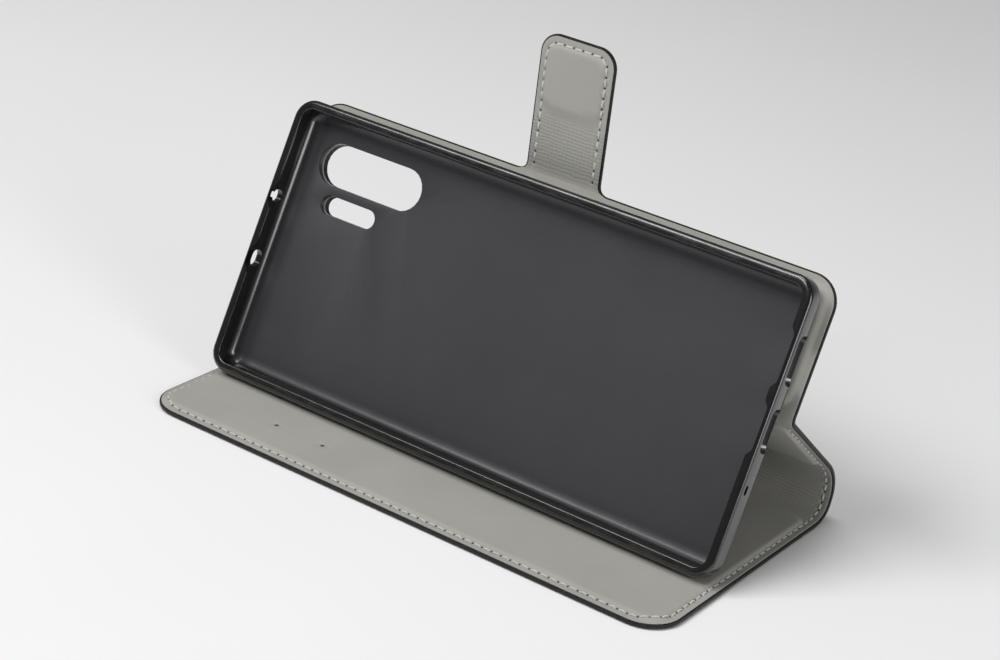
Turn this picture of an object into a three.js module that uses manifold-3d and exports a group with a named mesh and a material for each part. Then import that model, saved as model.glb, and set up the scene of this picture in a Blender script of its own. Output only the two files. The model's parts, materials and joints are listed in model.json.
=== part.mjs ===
// A folio (flip) case for a large phone, standing open in its landscape stand pose.
//
// The front cover lies flat on the table with its lining up. A soft spine curls up behind it, the lower
// back panel slants up and forward to the stand crease, and the upper back panel leans back with the
// phone tray fixed to it. A strap with a stiff magnetic tab leaves the free edge of the upper back panel.
//
// Millimetres, +Z up, +X along the case's long side, -Y towards the front. Every panel is built in its
// own frame: x along the case, y away from the cover along the leather, z from the skin to the lining,
// with z = 0 on the fold line's level. The panels are nested, each turned about its fold line, so the
// rest pose is one chain of fold angles.

import * as THREE from 'three'
import { mergeVertices } from 'three/addons/utils/BufferGeometryUtils.js'
import Module from 'manifold-3d'

// ---------------------------------------------------------------------------------------------------
// Driving dimensions

const CASE_LENGTH = 167          // along x, all leather panels
const CORNER_RADIUS_COVER = 10
const CORNER_RADIUS_BACK = 8

const SKIN = 0.8                 // outer synthetic leather
const BOARD = 0.8                // stiffener inside a panel
const LINING = 0.6               // inner textile
const GLUE = 0.1                 // glue line left open between two layers

const COVER_DEPTH = 81           // free edge to the cover fold
const SPINE_STRIPS = [4.6, 6.8, 6.4]
const LOWER_BACK = 38.3
const UPPER_BACK = 37.7

// Fold angles at rest, in degrees, each panel against the one before it.
const COVER_FOLD = 32
const SPINE_FOLDS = [48, 37]
const BACK_FOLD = 24.4
const STAND_CREASE = -75.4
const STRAP_FOLD = 24

const SOFT_GAP = 1.0             // clear of solids across a soft fold
const CREASE_GAP = 1.6           // wider at the stand crease, which folds skin to skin
const STRAP_CLEARANCE = 0.8      // from a strap fold line to the stiff edge beside it

const STRAP_CENTRE = -2.3
const STRAP_WIDTH = 23.4
const STRAP_ROOT = 14.8
const STRAP_TAB = 23.6
const STRAP_TIP_RADIUS = 5.5

const TRAY_LENGTH = 164.8
const TRAY_WIDTH = 79.8
const TRAY_DEPTH = 10
const TRAY_CENTRE = -0.75
const TRAY_CORNER = 6
const TRAY_SMALLEST_CORNER = 1
const TRAY_BACK_ROUNDING = 5.2   // outside, where the walls run into the floor
const TRAY_HEEL = 7.2            // outside, where the bottom wall stands on the cover
const TRAY_FLOOR_FILLET = 4      // inside, between floor and walls
const TRAY_WALL = 1.6
const TRAY_FLOOR = 1.5
const TRAY_LIP_DEPTH = 1.1       // thickness of the lip that holds the phone's front edge
const TRAY_LIP_REACH = 1         // how far the lip reaches inwards past the wall
const TRAY_FOOT = 43.85          // tray's bottom wall, below the stand crease
const LIP_RELIEF = 0.6           // how far the lip stops short of a port in an end wall
const PORT_BAR = { left: 0.8, right: 1.2 }   // what is left of an end wall's rim beside a port

const ADHESIVE = 0.2
const ADHESIVE_SHEET = { halfLength: 73.5, fromCrease: 3.8, fromFreeEdge: 9, radius: 3 }
const THREAD_WIDTH = 0.5
const THREAD_HEIGHT = 0.3
const THREAD_END = 1             // from a run's last stitch to the end of its panel
const STITCH_INSET = 2.3
const BOARD_INSET = 3.6
const MAGNET = { width: 12, length: 15, thickness: 0.7, radius: 1.5, clearance: 0.2 }
const PINHOLES = { xs: [-48, -32], fromFreeEdge: 13.9, radius: 0.8 }   // through the cover's lining

// Camera windows, measured from the tray's bottom wall.
const CAMERA_WINDOWS = [
  { x: -58.1, up: 64.9, length: 35.2, width: 12 },
  { x: -61.2, up: 53.6, length: 18.7, width: 5.4 },
]
// Ports in the end walls: up is the span from the tray's bottom wall, depth the span behind the rim.
const RIGHT_WINDOWS = [
  { up: [52.5, 65.7], depth: [1.7, 8.4], radius: 2.2 },
  { up: [34.7, 46.4], depth: [1.7, 8.4], radius: 2.2 },
]
const MICROPHONE_HOLE = { up: [23.6, 26.2], depth: [1.9, 3.3], radius: 0.6 }
const LEFT_PORTS = [
  { up: [49.3, 52.9], depth: [1.2, 5.2], radius: 1.5 },
  { up: [30.3, 35.1], depth: [1.4, 5.5], radius: 1.7 },
]

// ---------------------------------------------------------------------------------------------------
// Derived levels, in a panel's own frame

const BOARD_LEVEL = GLUE
const LINING_LEVEL = BOARD_LEVEL + BOARD + GLUE
const LINING_TOP = LINING_LEVEL + LINING
const TRAY_BACK = LINING_TOP + GLUE + ADHESIVE + GLUE
const TRAY_RIM = TRAY_BACK + TRAY_DEPTH
const THREAD_LEVEL = LINING_TOP + GLUE / 2
const HALF_LENGTH = CASE_LENGTH / 2
const CURVE_STEPS = 8
const BEVEL_STEPS = 6
const WELD = 1e-4                // points closer than this are one point
const OVERSHOOT = 2              // how far a cutter runs past the face that it cuts

const radians = THREE.MathUtils.degToRad

// ---------------------------------------------------------------------------------------------------
// Materials

function finish(color, roughness, metalness = 0) {
  return new THREE.MeshStandardMaterial({ color, roughness, metalness })
}

const leather = () => finish(0x151517, 0.5)
const textile = () => finish(0xa2a39b, 0.85)
const greyboard = () => finish(0x8f8779, 0.9)
const flexiblePlastic = () => finish(0x2b2b2e, 0.35)
const tape = () => finish(0xe6e4da, 0.6)
const steel = () => finish(0x9a9ca0, 0.35, 1)
const cotton = () => finish(0xcfcfc8, 0.8)

// ---------------------------------------------------------------------------------------------------
// Shapes and solids

const wasm = await Module()
wasm.setup()

// A rectangle from (x0, y0) to (x1, y1). The radii run from the lower left corner counterclockwise.
function roundedRectangle(x0, y0, x1, y1, radii = [0, 0, 0, 0]) {
  const shape = new THREE.Shape()
  const corners = [
    { x: x0 + radii[0], y: y0 + radii[0], start: Math.PI, r: radii[0] },
    { x: x1 - radii[1], y: y0 + radii[1], start: -Math.PI / 2, r: radii[1] },
    { x: x1 - radii[2], y: y1 - radii[2], start: 0, r: radii[2] },
    { x: x0 + radii[3], y: y1 - radii[3], start: Math.PI / 2, r: radii[3] },
  ]
  shape.moveTo(x0, y0 + radii[0])
  for (const { x, y, start, r } of corners) {
    if (r > 0) shape.absarc(x, y, r, start, start + Math.PI / 2, false)
    else shape.lineTo(x, y)
  }
  shape.closePath()
  return shape
}

function evenRadii(radius) {
  return [radius, radius, radius, radius]
}

function plate(shape, bottom, thickness) {
  const geometry = new THREE.ExtrudeGeometry(shape, {
    depth: thickness, bevelEnabled: false, curveSegments: CURVE_STEPS,
  })
  return geometry.translate(0, 0, bottom)
}

// A plate whose two faces are rounded off into its sides.
function softPlate(shape, bottom, thickness, rounding) {
  const geometry = new THREE.ExtrudeGeometry(shape, {
    depth: thickness - 2 * rounding,
    bevelEnabled: true,
    bevelThickness: rounding,
    bevelSize: rounding,
    bevelOffset: -rounding,
    bevelSegments: BEVEL_STEPS,
    curveSegments: CURVE_STEPS,
  })
  return geometry.translate(0, 0, bottom + rounding)
}

function solidOf(geometry) {
  const bare = geometry.clone()
  bare.deleteAttribute('normal')
  bare.deleteAttribute('uv')
  const merged = mergeVertices(bare, WELD)
  return new wasm.Manifold(new wasm.Mesh({
    numProp: 3,
    vertProperties: merged.attributes.position.array,
    triVerts: new Uint32Array(merged.index.array),
  }))
}

function geometryOf(solid) {
  const mesh = solid.getMesh()
  const geometry = new THREE.BufferGeometry()
  geometry.setAttribute('position', new THREE.BufferAttribute(mesh.vertProperties, 3))
  geometry.setIndex(new THREE.BufferAttribute(mesh.triVerts, 1))
  geometry.computeVertexNormals()
  return geometry
}

function cut(geometry, ...cutters) {
  let solid = solidOf(geometry)
  for (const cutter of cutters) solid = solid.subtract(solidOf(cutter))
  return geometryOf(solid)
}

function common(geometry, other) {
  return geometryOf(solidOf(geometry).intersect(solidOf(other)))
}

function part(name, geometry, material) {
  const mesh = new THREE.Mesh(geometry, material)
  mesh.name = name
  return mesh
}

// ---------------------------------------------------------------------------------------------------
// Panels: skin, board and lining

function panelOutline(y0, y1, radii, grow = 0) {
  const shrunk = radii.map((r) => Math.max(r - grow, 0))
  return roundedRectangle(-HALF_LENGTH + grow, y0 + grow, HALF_LENGTH - grow, y1 - grow, shrunk)
}

// The skin turns up round the board like a shallow pan, so its edge meets the lining.
function pannedSkin(outline, pocket, windows) {
  const rimTop = LINING_LEVEL - GLUE
  const pan = plate(outline, -SKIN, SKIN + rimTop)
  const hollow = plate(pocket, 0, rimTop + OVERSHOOT)
  return cut(pan, hollow, ...windows)
}

function stiffPanel(name, outline, pocket, boardOutline, windows = [], boardWindows = []) {
  const skin = pannedSkin(outline, pocket, windows)
  const board = plate(boardOutline, BOARD_LEVEL, BOARD)
  const lining = plate(outline, LINING_LEVEL, LINING)
  const boardCutters = [...windows, ...boardWindows]
  return [
    part(`${name}_skin`, skin, leather()),
    part(`${name}_board`, boardCutters.length ? cut(board, ...boardCutters) : board, greyboard()),
    part(`${name}_lining`, windows.length ? cut(lining, ...windows) : lining, textile()),
  ]
}

// A soft length has no board: skin and lining lie on each other either side of the fold level.
function softLength(name, x0, x1, y0, y1) {
  const outline = roundedRectangle(x0, y0, x1, y1)
  return [
    part(`${name}_skin`, plate(outline, -SKIN, SKIN - GLUE / 2), leather()),
    part(`${name}_lining`, plate(outline, GLUE / 2, LINING), textile()),
  ]
}

// A run of stitching thread: a flat band that follows the points, each corner mitred.
function threadRun(name, points) {
  const half = THREAD_WIDTH / 2
  const sides = [1, -1].map((side) => points.map((point, i) => {
    const before = points[Math.max(i - 1, 0)]
    const after = points[Math.min(i + 1, points.length - 1)]
    const into = point === before ? after.clone().sub(point) : point.clone().sub(before)
    const out = point === after ? into : after.clone().sub(point)
    const normalIn = new THREE.Vector2(-into.y, into.x).normalize()
    const normalOut = new THREE.Vector2(-out.y, out.x).normalize()
    const mitre = normalIn.clone().add(normalOut).normalize()
    return point.clone().addScaledVector(mitre, (side * half) / mitre.dot(normalIn))
  }))
  const band = new THREE.Shape([...sides[0], ...sides[1].reverse()])
  return part(name, plate(band, THREAD_LEVEL, THREAD_HEIGHT), cotton())
}

// Points of a U: down the left side, round two corners and up the right side.
function stitchedU(x0, x1, open, closed, radius) {
  const path = new THREE.Path()
  const turn = Math.sign(closed - open)
  path.moveTo(x0, open)
  path.lineTo(x0, closed - turn * radius)
  path.absarc(x0 + radius, closed - turn * radius, radius, Math.PI, (turn * Math.PI) / 2, turn > 0)
  path.absarc(x1 - radius, closed - turn * radius, radius, (turn * Math.PI) / 2, 0, turn > 0)
  path.lineTo(x1, open)
  const points = path.getPoints(CURVE_STEPS)
  return points.filter((point, i) => i === 0 || point.distanceTo(points[i - 1]) > WELD)
}

function magnetOutline(x, y, clearance = 0) {
  const halfWidth = MAGNET.width / 2 + clearance
  const halfLength = MAGNET.length / 2 + clearance
  return roundedRectangle(x - halfLength, y - halfWidth, x + halfLength, y + halfWidth,
    evenRadii(MAGNET.radius))
}

function magnet(name, x, y) {
  return part(name, plate(magnetOutline(x, y), BOARD_LEVEL, MAGNET.thickness), steel())
}

function magnetWindow(x, y) {
  return plate(magnetOutline(x, y, MAGNET.clearance), -SKIN / 2, SKIN + BOARD + OVERSHOOT)
}

// ---------------------------------------------------------------------------------------------------
// The front cover

const COVER_MAGNET_Y = 15

function coverPinholes() {
  return PINHOLES.xs.map((x) => {
    const hole = new THREE.Shape()
    hole.absarc(x, PINHOLES.fromFreeEdge, PINHOLES.radius, 0, 2 * Math.PI, false)
    return plate(hole, LINING_LEVEL - GLUE, LINING + OVERSHOOT)
  })
}

function frontCover() {
  const end = COVER_DEPTH - SOFT_GAP / 2
  const free = [CORNER_RADIUS_COVER, CORNER_RADIUS_COVER, 0, 0]
  const outline = panelOutline(0, end, free)
  const pocket = panelOutline(0, end, free, BOARD_INSET - GLUE)
  const boardOutline = panelOutline(0, end, free, BOARD_INSET)
  const pieces = stiffPanel('cover', outline, pocket, boardOutline, [],
    [magnetWindow(STRAP_CENTRE, COVER_MAGNET_Y)])
  const lining = pieces.find((piece) => piece.name === 'cover_lining')
  lining.geometry = cut(lining.geometry, ...coverPinholes())
  const side = HALF_LENGTH - STITCH_INSET
  const stitches = stitchedU(-side, side, end - THREAD_END, STITCH_INSET,
    CORNER_RADIUS_COVER - STITCH_INSET)
  return [...pieces, magnet('cover_magnet', STRAP_CENTRE, COVER_MAGNET_Y),
    threadRun('cover_thread', stitches)]
}

// ---------------------------------------------------------------------------------------------------
// The back panels

function lowerBack() {
  const start = SOFT_GAP / 2
  const end = LOWER_BACK - CREASE_GAP / 2
  const square = evenRadii(0)
  const pieces = stiffPanel('lower_back', panelOutline(start, end, square),
    panelOutline(start, end, square, BOARD_INSET - GLUE), panelOutline(start, end, square, BOARD_INSET))
  const side = HALF_LENGTH - STITCH_INSET
  const run = (x) => [new THREE.Vector2(x, start + THREAD_END), new THREE.Vector2(x, end - THREAD_END)]
  return [...pieces, threadRun('lower_back_thread_left', run(-side)),
    threadRun('lower_back_thread_right', run(side))]
}

// Just short of a half circle, so that a straight line is left between a pill's arcs.
const PILL_ROUNDNESS = 0.998

// Cutters that open both camera windows through every layer of the upper back panel and the tray.
function cameraWindows(clearance = 0) {
  return CAMERA_WINDOWS.map(({ x, up, length, width }) => {
    const halfLength = length / 2 + clearance
    const halfWidth = width / 2 + clearance
    const y = up - TRAY_FOOT
    const pill = roundedRectangle(x - halfLength, y - halfWidth, x + halfLength, y + halfWidth,
      evenRadii(halfWidth * PILL_ROUNDNESS))
    return plate(pill, -SKIN - OVERSHOOT, SKIN + TRAY_RIM + 2 * OVERSHOOT)
  })
}

function upperBack() {
  const start = CREASE_GAP / 2
  const round = [0, 0, CORNER_RADIUS_BACK, CORNER_RADIUS_BACK]
  const pieces = stiffPanel('upper_back', panelOutline(start, UPPER_BACK, round),
    panelOutline(start, UPPER_BACK, round, BOARD_INSET - GLUE),
    panelOutline(start, UPPER_BACK, round, BOARD_INSET), cameraWindows())
  const adhesiveOutline = roundedRectangle(TRAY_CENTRE - ADHESIVE_SHEET.halfLength,
    ADHESIVE_SHEET.fromCrease, TRAY_CENTRE + ADHESIVE_SHEET.halfLength,
    UPPER_BACK - ADHESIVE_SHEET.fromFreeEdge, evenRadii(ADHESIVE_SHEET.radius))
  const adhesive = cut(plate(adhesiveOutline, LINING_TOP + GLUE, ADHESIVE), ...cameraWindows(1))
  return [...pieces, part('tray_adhesive', adhesive, tape())]
}

function trayOutline(inset) {
  const radius = Math.max(TRAY_CORNER - inset, TRAY_SMALLEST_CORNER)
  return roundedRectangle(TRAY_CENTRE - TRAY_LENGTH / 2 + inset, -TRAY_FOOT + inset,
    TRAY_CENTRE + TRAY_LENGTH / 2 - inset, -TRAY_FOOT + TRAY_WIDTH - inset, evenRadii(radius))
}

// A shape drawn in an end wall's plane, laid along x from x0 to x1.
function barAlongX(shape, x0, x1) {
  const turn = new THREE.Matrix4().makeBasis(
    new THREE.Vector3(0, 1, 0), new THREE.Vector3(0, 0, 1), new THREE.Vector3(1, 0, 0))
  return plate(shape, 0, x1 - x0).applyMatrix4(turn).translate(x0, 0, 0)
}

// A port's cutter through an end wall.
function portCutter({ up, depth, radius }, x0, x1) {
  const shape = roundedRectangle(up[0] - TRAY_FOOT, TRAY_RIM - depth[1], up[1] - TRAY_FOOT,
    TRAY_RIM - depth[0], evenRadii(radius))
  return barAlongX(shape, x0, x1)
}

// Where the lip stops beside a port, so that the rim is only a thin bar there.
function reliefCutter({ up, depth, radius }, x0, x1) {
  const relief = { up: [up[0] - LIP_RELIEF, up[1] + LIP_RELIEF], depth: [-OVERSHOOT, depth[1]], radius }
  return portCutter(relief, x0, x1)
}

function phoneTray() {
  const mouthInset = TRAY_WALL + TRAY_LIP_REACH
  const left = TRAY_CENTRE - TRAY_LENGTH / 2
  const right = TRAY_CENTRE + TRAY_LENGTH / 2
  const rounded = softPlate(trayOutline(0), TRAY_BACK, 2 * TRAY_DEPTH, TRAY_BACK_ROUNDING)
  const heeled = roundedRectangle(-TRAY_FOOT, TRAY_BACK, -TRAY_FOOT + TRAY_WIDTH,
    TRAY_BACK + 2 * TRAY_DEPTH, [TRAY_HEEL, 0, 0, 0])
  const shell = common(rounded, barAlongX(heeled, left - OVERSHOOT, right + OVERSHOOT))
  const aboveRim = plate(trayOutline(-OVERSHOOT), TRAY_RIM, 2 * TRAY_DEPTH)
  const cavityDepth = TRAY_DEPTH - TRAY_FLOOR - TRAY_LIP_DEPTH
  const cavity = softPlate(trayOutline(TRAY_WALL), TRAY_BACK + TRAY_FLOOR, 2 * cavityDepth,
    TRAY_FLOOR_FILLET)
  const lipLevel = TRAY_RIM - TRAY_LIP_DEPTH
  const aboveLip = plate(trayOutline(-OVERSHOOT), lipLevel, 2 * TRAY_DEPTH)
  const mouth = plate(trayOutline(mouthInset), lipLevel - OVERSHOOT, TRAY_LIP_DEPTH + 2 * OVERSHOOT)
  const rightPorts = [...RIGHT_WINDOWS, MICROPHONE_HOLE].map((port) =>
    portCutter(port, right - 2 * mouthInset, right + OVERSHOOT))
  const leftPorts = LEFT_PORTS.map((port) => portCutter(port, left - OVERSHOOT, left + 2 * mouthInset))
  const lipReliefs = [
    ...LEFT_PORTS.map((port) => reliefCutter(port, left + PORT_BAR.left, left + 2 * mouthInset)),
    ...RIGHT_WINDOWS.map((port) => reliefCutter(port, right - 2 * mouthInset, right - PORT_BAR.right)),
  ]
  const hollow = cut(cavity, aboveLip)
  const tray = cut(shell, aboveRim, hollow, mouth, ...cameraWindows(), ...rightPorts, ...leftPorts,
    ...lipReliefs)
  return part('phone_tray', tray, flexiblePlastic())
}

// ---------------------------------------------------------------------------------------------------
// The strap

const STRAP_LEFT = STRAP_CENTRE - STRAP_WIDTH / 2
const STRAP_RIGHT = STRAP_CENTRE + STRAP_WIDTH / 2
const STRAP_BOARD_INSET = 3.4
const STRAP_MAGNET_Y = STRAP_TAB / 2 + 0.5

function strapOutline(inset) {
  const tip = STRAP_TIP_RADIUS - inset
  return roundedRectangle(STRAP_LEFT + inset, STRAP_CLEARANCE + inset, STRAP_RIGHT - inset,
    STRAP_TAB - inset, [0, 0, tip, tip])
}

function strapTab() {
  const pieces = stiffPanel('strap_tab', strapOutline(0), strapOutline(STRAP_BOARD_INSET - GLUE),
    strapOutline(STRAP_BOARD_INSET), [], [magnetWindow(STRAP_CENTRE, STRAP_MAGNET_Y)])
  const stitches = stitchedU(STRAP_LEFT + STITCH_INSET, STRAP_RIGHT - STITCH_INSET,
    STRAP_CLEARANCE + THREAD_END, STRAP_TAB - STITCH_INSET, STRAP_TIP_RADIUS - STITCH_INSET)
  return [...pieces, magnet('strap_magnet', STRAP_CENTRE, STRAP_MAGNET_Y),
    threadRun('strap_thread', stitches)]
}

// ---------------------------------------------------------------------------------------------------
// Assembly: a chain of nested groups, each turned about its fold line

function fold(parent, distance, angle, pieces) {
  const group = new THREE.Group()
  group.position.set(0, distance, 0)
  group.rotation.x = radians(angle)
  group.add(...pieces)
  parent.add(group)
  return group
}

function build() {
  const folio = new THREE.Group()
  const cover = fold(folio, 0, 0, frontCover())
  cover.position.z = SKIN
  const spineAngles = [COVER_FOLD, ...SPINE_FOLDS]
  let parent = cover
  let distance = COVER_DEPTH
  SPINE_STRIPS.forEach((length, i) => {
    const strip = softLength(`spine_${i + 1}`, -HALF_LENGTH, HALF_LENGTH,
      SOFT_GAP / 2, length - SOFT_GAP / 2)
    parent = fold(parent, distance, spineAngles[i], strip)
    distance = length
  })
  const lower = fold(parent, distance, BACK_FOLD, lowerBack())
  const upper = fold(lower, LOWER_BACK, STAND_CREASE, [...upperBack(), phoneTray()])
  const root = softLength('strap_root', STRAP_LEFT, STRAP_RIGHT, SOFT_GAP / 2, STRAP_ROOT - SOFT_GAP / 2)
  const strap = fold(upper, UPPER_BACK + STRAP_CLEARANCE, STRAP_FOLD, root)
  fold(strap, STRAP_ROOT, 0, strapTab())
  const box = new THREE.Box3().setFromObject(folio, true)
  folio.position.y = -(box.min.y + box.max.y) / 2
  return folio
}

export default build()
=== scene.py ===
"""A phone folio case standing open: the looks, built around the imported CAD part.

The leather, its lining and the stitches are drawn once on the case's flat pattern and folded along the
profile that runs through the CAD's hinge lines. Lengths are in millimetres until a mesh is made.
"""

import json
import math

import bmesh
import bpy
import numpy as np
from mathutils import Matrix, Vector
from mathutils.geometry import delaunay_2d_cdt


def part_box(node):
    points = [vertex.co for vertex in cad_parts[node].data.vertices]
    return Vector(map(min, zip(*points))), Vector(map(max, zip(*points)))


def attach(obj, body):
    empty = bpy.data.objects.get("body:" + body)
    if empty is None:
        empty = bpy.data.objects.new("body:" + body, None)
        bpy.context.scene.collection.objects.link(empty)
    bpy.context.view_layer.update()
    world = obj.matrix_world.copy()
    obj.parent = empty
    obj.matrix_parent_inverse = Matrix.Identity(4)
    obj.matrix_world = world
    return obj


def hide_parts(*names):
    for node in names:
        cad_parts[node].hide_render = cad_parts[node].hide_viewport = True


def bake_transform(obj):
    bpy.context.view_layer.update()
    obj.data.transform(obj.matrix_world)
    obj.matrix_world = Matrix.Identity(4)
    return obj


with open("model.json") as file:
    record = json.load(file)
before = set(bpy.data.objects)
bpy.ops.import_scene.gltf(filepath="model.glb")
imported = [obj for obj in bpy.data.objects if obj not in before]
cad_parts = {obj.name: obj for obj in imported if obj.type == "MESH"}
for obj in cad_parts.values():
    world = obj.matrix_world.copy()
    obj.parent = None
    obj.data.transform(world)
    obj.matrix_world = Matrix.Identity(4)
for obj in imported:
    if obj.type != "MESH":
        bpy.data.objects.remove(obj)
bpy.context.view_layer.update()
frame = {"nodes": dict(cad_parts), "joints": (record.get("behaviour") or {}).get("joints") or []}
random = np.random.default_rng(11)
MM = 0.001
NEARLY_ZERO = 1e-6
SAME_ROW = 1e-4               # flat distances closer than this are one row

# ----------------------------------------
# The folded profile. A point of the flat pattern is (x, s): s runs from the cover's free edge along the
# leather to the strap's tip.

FOLDS = ("cover_fold", "spine_fold_1", "spine_fold_2", "back_fold", "stand_crease", "strap_fold", "tab_fold")
STRAP_CLEARANCE = 0.8         # from the upper panel's free edge to the strap's hinge line


def axis_of(name):
    joint = next(j for j in frame["joints"] if j["name"] == name)
    return np.array(joint["pos_m"][1:]) / MM


corners = [axis_of(name) for name in FOLDS]
front = np.array([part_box("cover_skin")[0].y / MM, corners[0][1]])
tip = np.array([corners[-1][0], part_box("strap_tab_skin")[1].z / MM])
stations = [front, *corners, tip]
spans = [float(np.linalg.norm(b - a)) for a, b in zip(stations, stations[1:])]
AT = dict(zip(FOLDS, np.cumsum(spans)))
TIP = sum(spans)
TOP = AT["strap_fold"] - STRAP_CLEARANCE       # free edge of the upper back panel

# How far each bend reaches before and after its hinge line.
REACH = {
    "cover_fold": (2.6, spans[1] / 2),
    "spine_fold_1": (spans[1] / 2, spans[2] / 2),
    "spine_fold_2": (spans[2] / 2, spans[3] / 2),
    "back_fold": (spans[3] / 2, 3.2),
    "stand_crease": (2.0, 2.0),
    "strap_fold": (STRAP_CLEARANCE, 3.0),
    "tab_fold": (3.0, 3.0),
}


def profile_arcs():
    """Quadratic arcs (s0, s1, three control points): a bend round each hinge line, straight between them."""
    arcs = []
    last_s, last_point = 0.0, front
    for i, name in enumerate(FOLDS):
        before, after = REACH[name]
        inward = (stations[i + 1] - stations[i]) / spans[i]
        outward = (stations[i + 2] - stations[i + 1]) / spans[i + 1]
        start = corners[i] - before * inward
        end = corners[i] + after * outward
        if AT[name] - before - last_s > NEARLY_ZERO:
            arcs.append((last_s, AT[name] - before, last_point, (last_point + start) / 2, start))
        arcs.append((AT[name] - before, AT[name] + after, start, corners[i], end))
        last_s, last_point = AT[name] + after, end
    arcs.append((last_s, TIP, last_point, (last_point + tip) / 2, tip))
    return arcs


ARCS = profile_arcs()


def profile(s):
    """Place and unit tangent of the fold level at each flat distance s."""
    s = np.atleast_1d(np.asarray(s, float))
    place_at, tangent = np.empty((len(s), 2)), np.empty((len(s), 2))
    for s0, s1, a, b, c in ARCS:
        inside = (s >= s0 - NEARLY_ZERO) & (s <= s1 + NEARLY_ZERO)
        t = ((s[inside] - s0) / (s1 - s0))[:, None]
        place_at[inside] = (1 - t) ** 2 * a + 2 * t * (1 - t) * b + t**2 * c
        slope = (1 - t) * (b - a) + t * (c - b)
        tangent[inside] = slope / np.linalg.norm(slope, axis=1)[:, None]
    return place_at, tangent


def folded(x, s, h):
    """Where the flat pattern's points lie when h above the fold level, towards the lining."""
    place_at, tangent = profile(s)
    normal = np.stack([-tangent[:, 1], tangent[:, 0]], 1)
    yz = place_at + normal * np.asarray(h)[:, None]
    return np.column_stack([x, yz])


# ----------------------------------------
# The flat pattern's outline

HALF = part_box("cover_skin")[1].x / MM
STRAP_LEFT, STRAP_RIGHT = (v.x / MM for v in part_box("strap_tab_skin"))
COVER_CORNER = 10
BACK_CORNER = 8
STRAP_FILLET = 3
STRAP_TIP = 5.5
ARC_STEP = math.radians(9)
LEAST_CORNER = 0.3
FINE_STEP = 0.32              # between mesh rows in a bend
COARSE_STEP = 1.6             # and on a panel
FINE_REACH = 5.5              # how far from a hinge line the rows are close
LEAST_STEP = 0.15
ROW_CLEARANCE = 0.1           # between a corner's end and the next row
END_STEP = 2.0

# Where the leather is divided, so that each piece crosses one hinge line.
SPLITS = [
    0.0,
    AT["cover_fold"] + spans[1] / 2,
    AT["spine_fold_1"] + spans[2] / 2,
    AT["spine_fold_2"] + spans[3] / 2,
    (AT["back_fold"] + AT["stand_crease"]) / 2,
    AT["stand_crease"] + 4.5,
    (AT["strap_fold"] + AT["tab_fold"]) / 2,
    TIP,
]


def row_levels():
    """Flat distances of the mesh rows: close together in the bends, further apart on the panels."""
    marks = sorted(set(SPLITS))
    fine = [(AT[name] - FINE_REACH, AT[name] + FINE_REACH) for name in FOLDS[:-1]]
    rows = []
    for a, b in zip(marks, marks[1:]):
        s = a
        while s < b - LEAST_STEP:
            rows.append(s)
            bent = any(lo <= s <= hi for lo, hi in fine)
            s += FINE_STEP if bent else COARSE_STEP
        rows.append(b)
    return np.unique(np.round(rows, 5))


ROWS = row_levels()


def arc(cx, cy, radius, start, end):
    steps = max(2, int(round(abs(math.radians(end - start)) / ARC_STEP)))
    angles = np.radians(np.linspace(start, end, steps + 1))
    return np.column_stack([cx + radius * np.cos(angles), cy + radius * np.sin(angles)])


def along_side(x, s0, s1):
    """Points of a straight side at the mesh rows between s0 and s1, which may run either way."""
    low, high = min(s0, s1), max(s0, s1)
    s = ROWS[(ROWS > low + ROW_CLEARANCE) & (ROWS < high - ROW_CLEARANCE)]
    if s1 < s0:
        s = s[::-1]
    return np.column_stack([np.full(len(s), x), s])


def along_end(x0, x1, s):
    count = max(1, int(abs(x1 - x0) / END_STEP))
    x = np.linspace(x0, x1, count + 1)[1:-1]
    return np.column_stack([x, np.full(len(x), s)])


def outline(inset=0.0):
    """The whole pattern's outline, counterclockwise from its lower left corner, moved inwards by inset."""
    left, right = -HALF + inset, HALF - inset
    low, top, end = inset, TOP - inset, TIP - inset
    s_left, s_right = STRAP_LEFT + inset, STRAP_RIGHT - inset
    cover, back = COVER_CORNER - inset, BACK_CORNER - inset
    tip_radius, fillet = max(STRAP_TIP - inset, LEAST_CORNER), STRAP_FILLET + inset
    return np.concatenate([
        arc(left + cover, low + cover, cover, 180, 270),
        along_end(left + cover, right - cover, low),
        arc(right - cover, low + cover, cover, 270, 360),
        along_side(right, low + cover, top - back),
        arc(right - back, top - back, back, 0, 90),
        along_end(right - back, s_right + fillet, top),
        arc(s_right + fillet, top + fillet, fillet, 270, 180),
        along_side(s_right, top + fillet, end - tip_radius),
        arc(s_right - tip_radius, end - tip_radius, tip_radius, 0, 90),
        along_end(s_right - tip_radius, s_left + tip_radius, end),
        arc(s_left + tip_radius, end - tip_radius, tip_radius, 90, 180),
        along_side(s_left, end - tip_radius, top + fillet),
        arc(s_left - fillet, top + fillet, fillet, 360, 270),
        along_end(s_left - fillet, left + back, top),
        arc(left + back, top - back, back, 90, 180),
        along_side(left, top - back, low + cover),
    ])


EDGE = outline()


def edge_distance(points):
    """Distance of each point from the pattern's outline."""
    a, b = EDGE, np.roll(EDGE, -1, axis=0)
    best = np.full(len(points), 1e9)
    for p, q in zip(a, b):
        d = q - p
        length = d @ d
        if length < 1e-12:
            continue
        t = np.clip((points - p) @ d / length, 0, 1)
        best = np.minimum(best, np.linalg.norm(points - (p + t[:, None] * d), axis=1))
    return best


def smooth(low, high, value):
    t = np.clip((value - low) / (high - low), 0, 1)
    return t * t * (3 - 2 * t)


# ----------------------------------------
# Camera windows, boards, stitch lines and holes on the flat pattern

TRAY_FOOT = 43.85             # from the stand crease down to the tray's foot
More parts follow.
